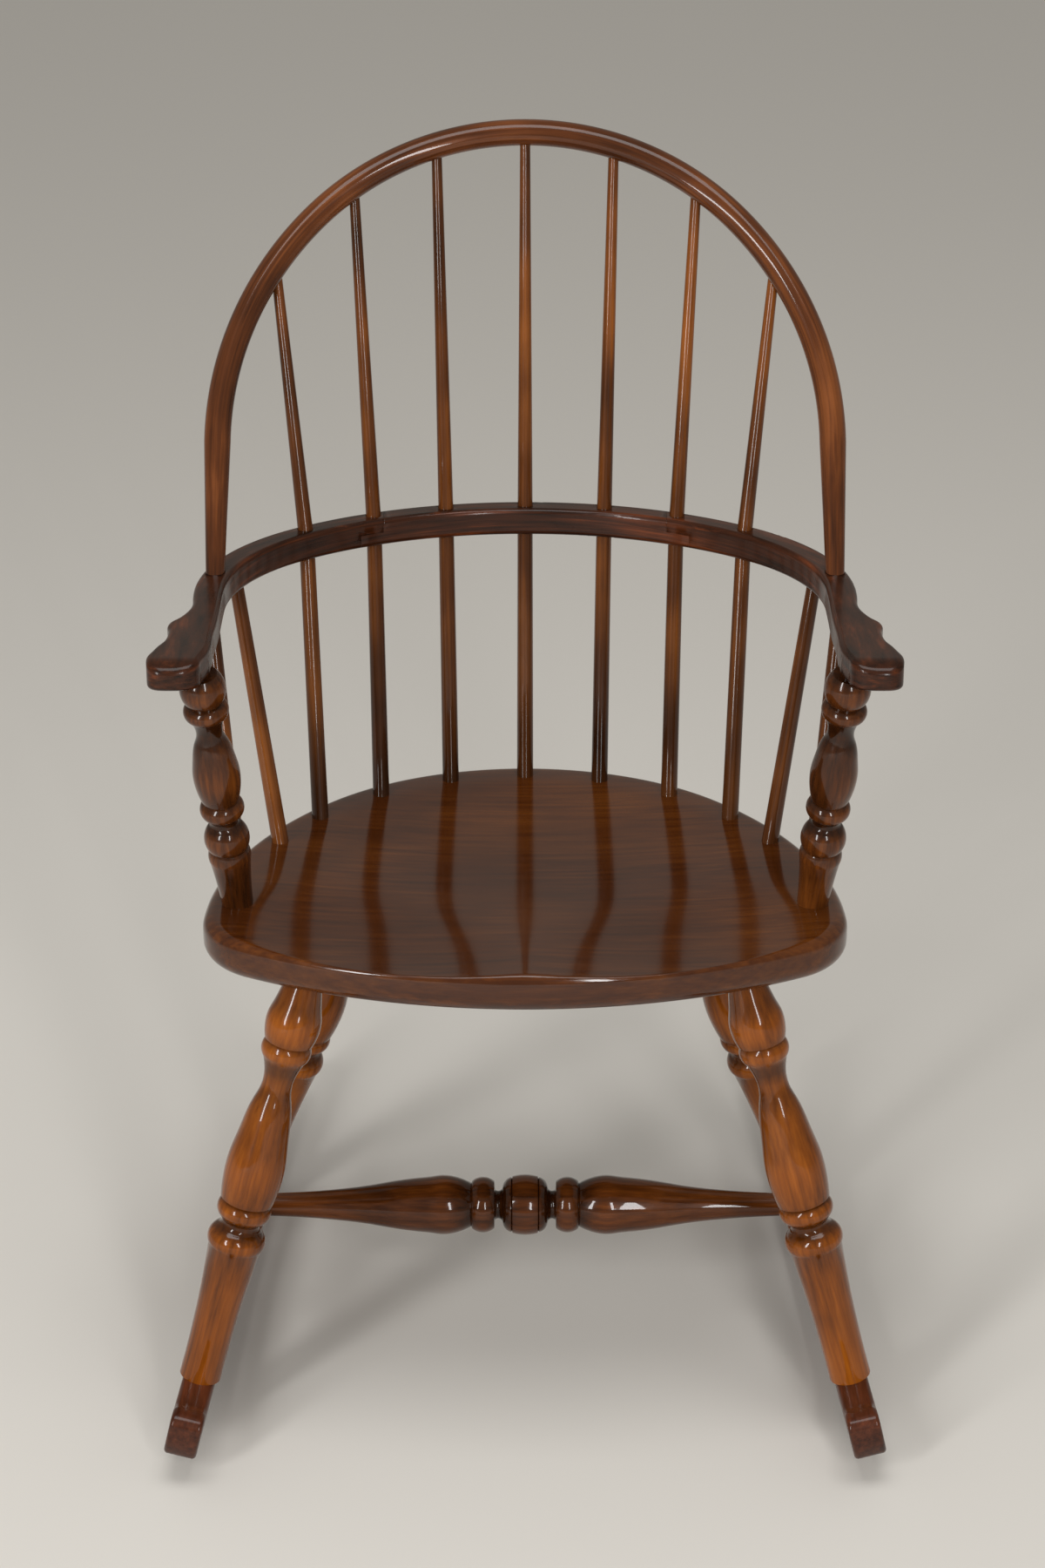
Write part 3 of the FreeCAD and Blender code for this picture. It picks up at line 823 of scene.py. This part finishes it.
def oval_quarter(half_x: float, half_y: float, count: int, fullness: float = 0.72) -> list[Point2]:
    """Points on a quarter of an oval drawn as two arcs, from its side to its end.

    Args:
        half_x: Half its width.
        half_y: Half its depth.
        count: The number of steps.
        fullness: How far its end goes towards a true ellipse's, as a power.

    Returns:
        The points from (half_x, 0) to (0, half_y).
    """
    end_radius = half_x * (half_x / half_y) ** fullness
    past = half_y - end_radius
    side_radius = (half_x ** 2 + past ** 2 - end_radius ** 2) / (2 * (half_x - end_radius))
    side_x = half_x - side_radius
    sign = 1 if side_radius > end_radius else -1
    meet = math.atan2(sign * past, -sign * side_x)
    side_length = side_radius * meet
    end_length = end_radius * (math.pi / 2 - meet)
    points = []
    for step in range(count + 1):
        along = (side_length + end_length) * step / count
        if along <= side_length:
            angle = along / side_radius
            points.append((side_x + side_radius * math.cos(angle), side_radius * math.sin(angle)))
        else:
            angle = meet + (along - side_length) / end_radius
            points.append((end_radius * math.cos(angle), past + end_radius * math.sin(angle)))
    return points


@dataclass(frozen=True)
class Dish:
    """A round hollow, sunk by a ball into the top of the seat."""

    across: float
    sink: float
    x: float
    y: float

    def height(self, x: float, y: float) -> float:
        """The hollow's height at a place, below the flat top inside it and above it outside."""
        ball = (self.across ** 2 / 4 + self.sink ** 2) / (2 * self.sink)
        return ball - self.sink - math.sqrt(ball ** 2 - (x - self.x) ** 2 - (y - self.y) ** 2)


def soft_least(values: Sequence[float], blend: float) -> float:
    """The least of some values, eased where two come near each other.

    Args:
        values: The values.
        blend: How far apart two values still affect each other.

    Returns:
        The eased least value.
    """
    least = min(values)
    return least - blend * math.log(sum(math.exp((least - value) / blend) for value in values))


@dataclass
class SeatBoard:
    """The solid seat: an oval board with a rounded edge and a hollowed saddle."""

    width: float = 388.0 * MM
    back_depth: float = 234.0 * MM
    front_depth: float = 88.0 * MM
    thickness: float = 27.0 * MM
    top_round: float = 8.0 * MM
    bottom_round: float = 11.0 * MM
    bowl: Dish = Dish(across=292.0 * MM, sink=7.0 * MM, x=0.0, y=-10.0 * MM)
    scoops: tuple[Dish, ...] = tuple(
        Dish(across=196.0 * MM, sink=6.0 * MM, x=side.value * 79.0 * MM, y=-112.0 * MM) for side in Side
    )
    rim_blend: float = 0.35 * MM
    ridge_blend: float = 0.5 * MM
    bowl_blend: float = 1.5 * MM
    # Painted shade on the seat: edge_shade darkens the rounded edge and top_shade the top, after how the
    # light falls on them
    edge_shade: float = 0.5
    top_shade: float = 0.28
    wear_least: float = 0.25
    wear_full: float = 0.45
    wear_strength: float = 0.2
    quarter_steps: int = 44
    round_steps: int = 8
    under_rings: int = 8
    top_rings: int = 44
    finish: Lacquer = SEAT_FINISH

    @property
    def widest(self) -> float:
        """Where the board is widest, from the middle of its depth."""
        return (self.front_depth - self.back_depth) / 2

    @property
    def pole(self) -> float:
        """Where the rings close, between the middle of the depth and the widest place."""
        return self.widest / 2

    def outline(self) -> list[Point2]:
        """The board's edge in plan.

        Returns:
            Its points from the right side round by the back.
        """
        back = oval_quarter(self.width / 2, self.back_depth, self.quarter_steps)
        front = oval_quarter(self.width / 2, self.front_depth, self.quarter_steps)
        points = [(x, y + self.widest) for x, y in back]
        points += [(-x, y + self.widest) for x, y in reversed(back[:-1])]
        points += [(-x, self.widest - y) for x, y in front[1:]]
        points += [(x, self.widest - y) for x, y in reversed(front[1:-1])]
        return points

    def inset(self, distance: float) -> list[Point2]:
        """The board's edge drawn in by a distance.

        Args:
            distance: The distance.

        Returns:
            The points of the inner edge.
        """
        points = self.outline()
        result = []
        for number, (x, y) in enumerate(points):
            before, after = points[number - 1], points[(number + 1) % len(points)]
            run = Vector((after[0] - before[0], after[1] - before[1])).normalized()
            result.append((x - run.y * distance, y + run.x * distance))
        return result

    def shrunk(self, edge: Sequence[Point2], share: float) -> list[Point2]:
        """An edge shrunk round the pole to a share of its size."""
        return [(x * share, self.pole + (y - self.pole) * share) for x, y in edge]

    def top(self, x: float, y: float, flat: float = 0.0) -> float:
        """The height of the saddle at a place, its ridges eased.

        Args:
            x: Place across the chair.
            y: Place behind the seat's middle.
            flat: The height where no hollow reaches.

        Returns:
            The height above the flat top.
        """
        seats = soft_least([scoop.height(x, y) for scoop in self.scoops], self.ridge_blend)
        hollow = soft_least([self.bowl.height(x, y), seats], self.bowl_blend)
        return soft_least([flat, hollow], self.rim_blend)

    def loops(self) -> list[list[Point3]]:
        """The rings of points that the board's skin goes through.

        Returns:
            The rings from the underside round the edge to the top.
        """
        edge = self.inset(self.bottom_round)
        loops = []
        for step in range(1, self.under_rings + 1):
            ring = self.shrunk(edge, step / self.under_rings)
            loops.append([(x, y, -self.thickness) for x, y in ring])
        angles = [math.pi / 2 * step / self.round_steps for step in range(self.round_steps + 1)]
        for angle in angles[1:]:
            drawn = self.bottom_round * (1 - math.sin(angle))
            height = -self.thickness + self.bottom_round * (1 - math.cos(angle))
            loops.append([(x, y, height) for x, y in self.inset(drawn)])
        for angle in angles:
            drawn = self.top_round * (1 - math.cos(angle))
            height = self.top_round * (math.sin(angle) - 1)
            loops.append([(x, y, min(height, self.top(x, y, height))) for x, y in self.inset(drawn)])
        edge = self.inset(self.top_round)
        for step in range(1, self.top_rings):
            ring = self.shrunk(edge, 1 - step / self.top_rings)
            loops.append([(x, y, self.top(x, y)) for x, y in ring])
        return loops

    def build(self) -> bpy.types.Object:
        """Make the seat.

        Returns:
            The finished seat.
        """
        under = (0, self.pole, -self.thickness)
        mesh = self.skin(self.loops(), under, (0, self.pole, self.top(0, self.pole)))
        local = positions(mesh)
        mesh.transform(UPPER.matrix())
        store(mesh, GRAIN, local + offset_for("seat"))
        # Painted shade: the edge and the top of the seat are darkened by these shares
        shades = [self.edge_shade, self.top_shade]
        store(mesh, STAIN_AND_SHADE, np.interp(local[:, 2] + self.top_round, [0, self.top_round / 2], shades))
        edge_wear(mesh, self.wear_least, self.wear_full, self.wear_strength)
        return finished("seat_board", mesh, self.finish, ["seat"])

    @staticmethod
    def skin(loops: Sequence[Sequence[Point3]], low: Point3, high: Point3) -> bpy.types.Mesh:
        """A closed mesh through loops of points, from a lower to an upper middle point.

        Args:
            loops: Loops of as many points each, from below to above.
            low: The middle of the underside.
            high: The middle of the top.

        Returns:
            The mesh, smooth and facing outwards.
        """
        count = len(loops[0])
        points = [point for loop in loops for point in loop] + [low, high]
        faces: list[tuple[int, ...]] = []
        for level in range(len(loops) - 1):
            base = level * count
            for number in range(count):
                follow = (number + 1) % count
                faces.append((base + number, base + follow, base + count + follow, base + count + number))
        last = (len(loops) - 1) * count
        for number in range(count):
            follow = (number + 1) % count
            faces.append((len(points) - 2, follow, number))
            faces.append((len(points) - 1, last + number, last + follow))
        mesh = bpy.data.meshes.new("seat_board")
        mesh.from_pydata(points, [], faces)
        work = bmesh.new()
        work.from_mesh(mesh)
        bmesh.ops.recalc_face_normals(work, faces=work.faces)
        work.to_mesh(mesh)
        work.free()
        mesh.polygons.foreach_set("use_smooth", [True] * len(mesh.polygons))
        return mesh


def tapered(start: float, end: float, steps: int) -> list[float]:
    """Sizes that go evenly from one to another."""
    return [start + (end - start) * step / steps for step in range(steps + 1)]


def spaced(start: Vector, end: Vector, steps: int) -> list[Vector]:
    """Points evenly spaced from one point to another."""
    return [start.lerp(end, step / steps) for step in range(steps + 1)]


@dataclass
class BentBow:
    """The bow of the back: a round arch on two straight feet that taper into the arms."""

    width: float = 377.0 * MM
    height: float = 282.0 * MM
    shoulder: float = 81.5 * MM
    radius: float = 8.2 * MM
    foot_radius: float = 5.8 * MM
    tenon: float = 13.0 * MM
    foot_behind: float = 26.0 * MM
    lean: float = 33.2
    arch_steps: int = 60
    foot_steps: int = 12
    sides: int = 40
    finish: Lacquer = BOW_FINISH

    def frame(self) -> Matrix:
        """The move from the bow's own plane to the chair."""
        turn = Matrix.Rotation(math.radians(90 - self.lean), 4, "X")
        return UPPER.matrix() @ Matrix.Translation((0, self.foot_behind, RAIL.height)) @ turn

    def build(self, rods: RodTree) -> bpy.types.Object:
        """Make the bow.

        Args:
            rods: The tree that sweeps round rods.

        Returns:
            The finished bow.
        """
        half = self.width / 2
        side = [(half, -self.tenon, self.foot_radius)]
        for step in range(self.foot_steps):
            share = step / self.foot_steps
            size = self.foot_radius + (self.radius - self.foot_radius) * share
            side.append((half, self.shoulder * share, size))
        for x, y in oval_quarter(half, self.height - self.shoulder, self.arch_steps):
            side.append((x, self.shoulder + y, self.radius))
        whole = side + [(-x, y, size) for x, y, size in reversed(side[:-1])]
        frame = self.frame()
        path = [frame @ Vector((x, y, 0)) for x, y, _ in whole]
        mesh = rods.sweep("bow", path, [size for _, _, size in whole], self.sides, self.finish)
        return finished("bent_bow", mesh, self.finish, ["bow"])


@dataclass
class SpindleSet:
    """The seven long spindles of the back and the two short ones under each arm.

    The shares of the long spindles go from the middle outwards, those of the short ones from the front.
    """

    seat_half: float = 177.0 * MM
    seat_reach: float = 217.0 * MM
    seat_centre: float = -73.0 * MM
    base_radius: float = 5.4 * MM
    rail_radius: float = 4.9 * MM
    top_radius: float = 3.2 * MM
    short_top_radius: float = 4.3 * MM
    seat_depth: float = 14.5 * MM
    arm_depth: float = 10.5 * MM
    base_shares: tuple[float, ...] = (0.0, 0.276, 0.529, 0.741)
    rail_shares: tuple[float, ...] = (0.0, 0.267, 0.507, 0.725)
    top_shares: tuple[float, ...] = (0.0, 0.293, 0.565, 0.82)
    short_base_shares: tuple[float, ...] = (0.17, 0.49)
    short_top_shares: tuple[float, ...] = (0.03, 0.345)
    # Painted shade along the spindles: the long ones darker towards the seat, the short ones darker towards
    # the arm
    long_shades: tuple[float, float] = (0.85, 0.0)
    short_shades: tuple[float, float] = (0.35, 0.5)
    lower_steps: int = 14
    upper_steps: int = 16
    short_steps: int = 16
    sides: int = 28
    bow: BentBow = field(default_factory=BentBow)
    finish: Lacquer = SPINDLE_FINISH

    @staticmethod
    def reach(place: float, half: float, deep: float) -> float:
        """How far an oval reaches at a place across it."""
        return deep * math.sqrt(1 - (place / half) ** 2)

    def build(self, rods: RodTree) -> list[bpy.types.Object]:
        """Make every spindle.

        Args:
            rods: The tree that sweeps round rods.

        Returns:
            The finished spindles.
        """
        pieces = [self.long_spindle(rods, number) for number in range(1, 2 * len(self.base_shares))]
        for side in Side:
            for place, word in enumerate(("front", "rear")):
                pieces.append(self.short_spindle(rods, side, place, word))
        return pieces

    def long_spindle(self, rods: RodTree, number: int) -> bpy.types.Object:
        """Make a long spindle, from the seat through the rail into the bow.

        Args:
            rods: The tree that sweeps round rods.
            number: Its number from the left.

        Returns:
            The finished spindle.
        """
        middle = len(self.base_shares)
        place = abs(number - middle)
        sign = -1 if number < middle else 1
        base_x = self.base_shares[place] * self.seat_half
        rail_x = self.rail_shares[place] * RAIL.half
        top_x = self.top_shares[place] * self.bow.width / 2
        rise = self.bow.height - self.bow.shoulder
        arch = self.bow.shoulder + self.reach(top_x, self.bow.width / 2, rise)
        base_y = self.seat_centre + self.reach(base_x, self.seat_half, self.seat_reach)
        rail_y = RAIL.centre + self.reach(rail_x, RAIL.half, RAIL.reach)
        base = UPPER.matrix() @ Vector((sign * base_x, base_y, 0))
        rail = UPPER.matrix() @ Vector((sign * rail_x, rail_y, RAIL.height - RAIL.thickness / 2))
        top = self.bow.frame() @ Vector((sign * top_x, arch, 0))
        foot = base - (rail - base).normalized() * self.seat_depth
        path = spaced(foot, rail, self.lower_steps) + spaced(rail, top, self.upper_steps)[1:]
        radii = tapered(self.base_radius, self.rail_radius, self.lower_steps)
        radii += tapered(self.rail_radius, self.top_radius, self.upper_steps)[1:]
        name = "long_spindle_" + str(number)
        mesh = rods.sweep(name, path, radii, self.sides, self.finish, self.long_shades)
        return finished(name + "_wood", mesh, self.finish, [name])

    def short_spindle(self, rods: RodTree, side: Side, place: int, word: str) -> bpy.types.Object:
        """Make a short spindle, from the seat into an arm.

        Args:
            rods: The tree that sweeps round rods.
            side: Its side of the chair.
            place: Its place in the row from the front.
            word: The word for that place in its name.

        Returns:
            The finished spindle.
        """
        base_back = self.short_base_shares[place] * self.seat_reach
        base_x = self.reach(base_back, self.seat_reach, self.seat_half)
        top_back = self.short_top_shares[place] * RAIL.reach
        top_x = self.reach(top_back, RAIL.reach, RAIL.half)
        base = UPPER.matrix() @ Vector((side.value * base_x, self.seat_centre + base_back, 0))
        under = RAIL.height - RAIL.thickness
        top = UPPER.matrix() @ Vector((side.value * top_x, RAIL.centre + top_back, under))
        along = (top - base).normalized()
        foot = base - along * self.seat_depth
        path = spaced(foot, top + along * self.arm_depth, self.short_steps)
        radii = tapered(self.base_radius, self.short_top_radius, self.short_steps)
        name = "short_spindle_" + word + "_" + side.word
        mesh = rods.sweep(name, path, radii, self.sides, self.finish, self.short_shades)
        return finished(name + "_wood", mesh, self.finish, [name])


@dataclass(frozen=True)
class Lamp:
    """A soft oblong lamp: where it stands, its width and height, and its power in watts."""

    name: str
    place: Point3
    size: tuple[float, float]
    power: float

    def build(self, aim: Vector) -> None:
        """Set the lamp up.

        Args:
            aim: The point that it faces.
        """
        light = bpy.data.lights.new(self.name, "AREA")
        light.shape = "RECTANGLE"
        light.size, light.size_y = self.size
        light.energy = self.power
        lamp = bpy.data.objects.new(self.name, light)
        lamp.location = self.place
        lamp.rotation_euler = (aim - Vector(self.place)).to_track_quat("-Z", "Y").to_euler()
        bpy.context.scene.collection.objects.link(lamp)


@dataclass
class Studio:
    """The plain floor, the soft lights and the camera."""

    floor_half: float = 14.0
    floor_colour: Colour = linear(214, 210, 203)
    floor_rough: float = 0.9
    air_colour: Colour = linear(226, 224, 220)
    air_strength: float = 0.55
    seen_colour: Colour = linear(146, 142, 135)
    lamps: tuple[Lamp, ...] = (
        Lamp("key_light", place=(-1.6, -2.2, 1.35), size=(0.34, 1.7), power=40.0),
        Lamp("near_light", place=(0.75, -2.7, 1.35), size=(0.26, 1.5), power=26.0),
        Lamp("top_light", place=(0.0, -0.5, 2.6), size=(1.6, 0.9), power=20.0),
    )
    aim_height: float = 0.36
    camera_place: Point3 = (0.0, -1.9715, 1.282)
    camera_fall: float = 25.0
    lens: float = 80.0
    sensor: float = 36.0
    shift_x: float = -0.00167

    def build(self) -> None:
        """Set up the floor, the lights and the camera."""
        self.floor()
        self.air()
        for lamp in self.lamps:
            lamp.build(Vector((0, 0, self.aim_height)))
        self.camera()

    def floor(self) -> None:
        """A plain pale floor."""
        half = self.floor_half
        corners = [(-half, -half, 0), (half, -half, 0), (half, half, 0), (-half, half, 0)]
        mesh = bpy.data.meshes.new("floor")
        mesh.from_pydata(corners, [], [(0, 1, 2, 3)])
        material = bpy.data.materials.new("pale_floor")
        material.use_nodes = True
        shader = material.node_tree.nodes["Principled BSDF"]
        shader.inputs["Base Color"].default_value = (*self.floor_colour, 1)
        shader.inputs["Roughness"].default_value = self.floor_rough
        mesh.materials.append(material)
        floor = bpy.data.objects.new("floor", mesh)
        bpy.context.scene.collection.objects.link(floor)

    def air(self) -> None:
        """Even light from all round, seen by eye and in the lacquer as a plain wall."""
        world = bpy.data.worlds.new("studio_air")
        world.use_nodes = True
        nodes = world.node_tree.nodes
        bench = NodeBench(world.node_tree)
        sky = nodes["Background"]
        bench.feed(sky, {"Color": (*self.air_colour, 1), "Strength": self.air_strength})
        wall = bench.add("ShaderNodeBackground", {"Color": (*self.seen_colour, 1)})
        rays = bench.add("ShaderNodeLightPath").outputs
        seen = rays["Is Camera Ray"]
        for kind in ("Is Glossy Ray", "Is Transmission Ray"):
            either = bench.add("ShaderNodeMath", {0: seen, 1: rays[kind]}, operation="MAXIMUM")
            seen = either.outputs["Value"]
        mixed = bench.add("ShaderNodeMixShader", {
            "Fac": seen,
            1: sky.outputs["Background"],
            2: wall.outputs["Background"],
        })
        bench.feed(nodes["World Output"], {"Surface": mixed.outputs["Shader"]})
        bpy.context.scene.world = world

    def camera(self) -> None:
        """The camera, where the photograph was taken from."""
        data = bpy.data.cameras.new("camera")
        data.sensor_fit = "VERTICAL"
        data.sensor_height = self.sensor
        data.lens = self.lens
        data.shift_x = self.shift_x
        camera = bpy.data.objects.new("camera", data)
        camera.location = self.camera_place
        camera.rotation_euler = (math.radians(90 - self.camera_fall), 0, 0)
        bpy.context.scene.collection.objects.link(camera)
        bpy.context.scene.camera = camera


def both(stem: str) -> tuple[str, ...]:
    """The names of a left and right pair of nodes."""
    return tuple(stem + "_" + side.word for side in Side)


def main() -> None:
    """Build the chair in order and report each piece."""
    logging.basicConfig(level=logging.INFO, format="%(name)s: %(message)s")
    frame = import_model()
    nodes = frame["nodes"]
    bpy.context.scene.view_settings.view_transform = "Standard"
    rods = RodTree()
    pieces = [SeatBoard().build(), BentBow().build(rods), *SpindleSet().build(rods)]
    groups = (
        CadPieces(ARM_FINISH, Grain.BENT, ("back_rail",)),
        CadPieces(ARM_FINISH, Grain.BENT, both("arm"), hand=True),
        CadPieces(POST_FINISH, Grain.AXIS, both("arm_post")),
        CadPieces(LEG_FINISH, Grain.AXIS, (*both("front_leg"), *both("rear_leg"))),
        CadPieces(STRETCHER_FINISH, Grain.AXIS, (*both("side_stretcher"), "centre_stretcher")),
        CadPieces(ROCKER_FINISH, Grain.DEPTH, both("rocker")),
    )
    for group in groups:
        pieces += group.build(nodes)
    for piece in pieces:
        LOG.info("%s: %d faces", piece.name, len(piece.data.polygons))
    Studio().build()


if __name__ == "__main__":
    main()
